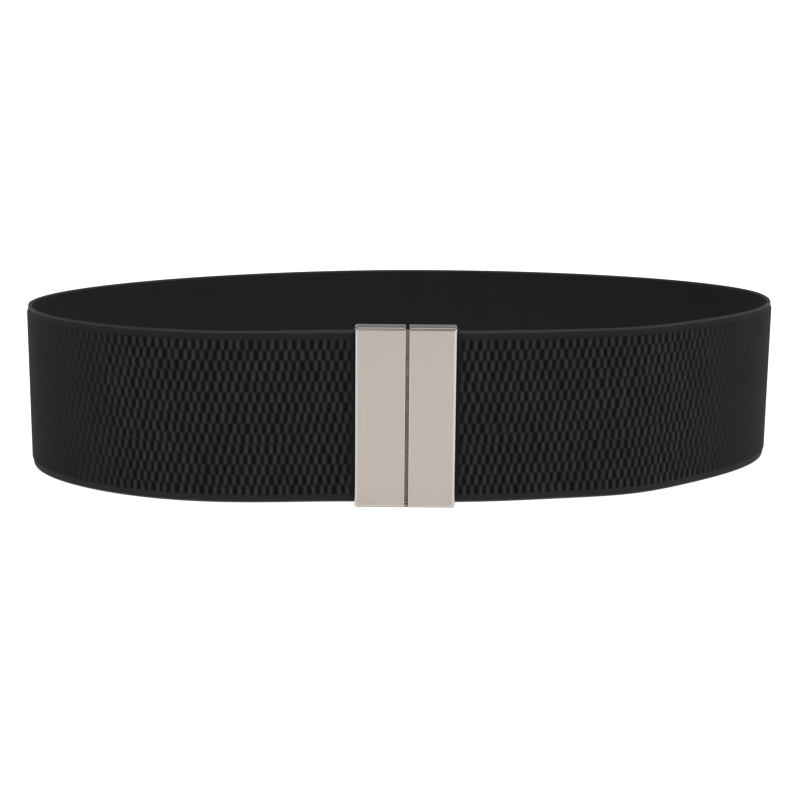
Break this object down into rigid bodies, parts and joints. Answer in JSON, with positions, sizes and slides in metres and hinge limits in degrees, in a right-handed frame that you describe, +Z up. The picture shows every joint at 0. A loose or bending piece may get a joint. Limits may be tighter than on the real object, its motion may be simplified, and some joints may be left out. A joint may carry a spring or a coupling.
{
  "type": "elastic stretch belt",
  "caption": "Wide woven elastic waist belt, closed in a loop, with an interlocking clasp of two upright rectangular metal plates at the front.",
  "frame": {"origin": "on the ground under the middle of the belt's bounding box", "axes": "+Z up along the band's width, the buckle faces -Y, +X to the right seen from the front"},
  "size_m": [0.2822, 0.161, 0.0631],
  "materials": {
    "woven_elastic": "black elastic webbing with raised grains in brick order on its face and a plain back and edges",
    "nickel_plate": "warm pale nickel plating, finely satined faces and polished edges",
    "tongue_steel": "plain plated steel strip"
  },
  "bodies": {
    "root": {"elastic_band": "woven_elastic", "left_plate": "nickel_plate", "right_plate": "nickel_plate", "clasp_tongue": "tongue_steel"}
  },
  "joints": []
}
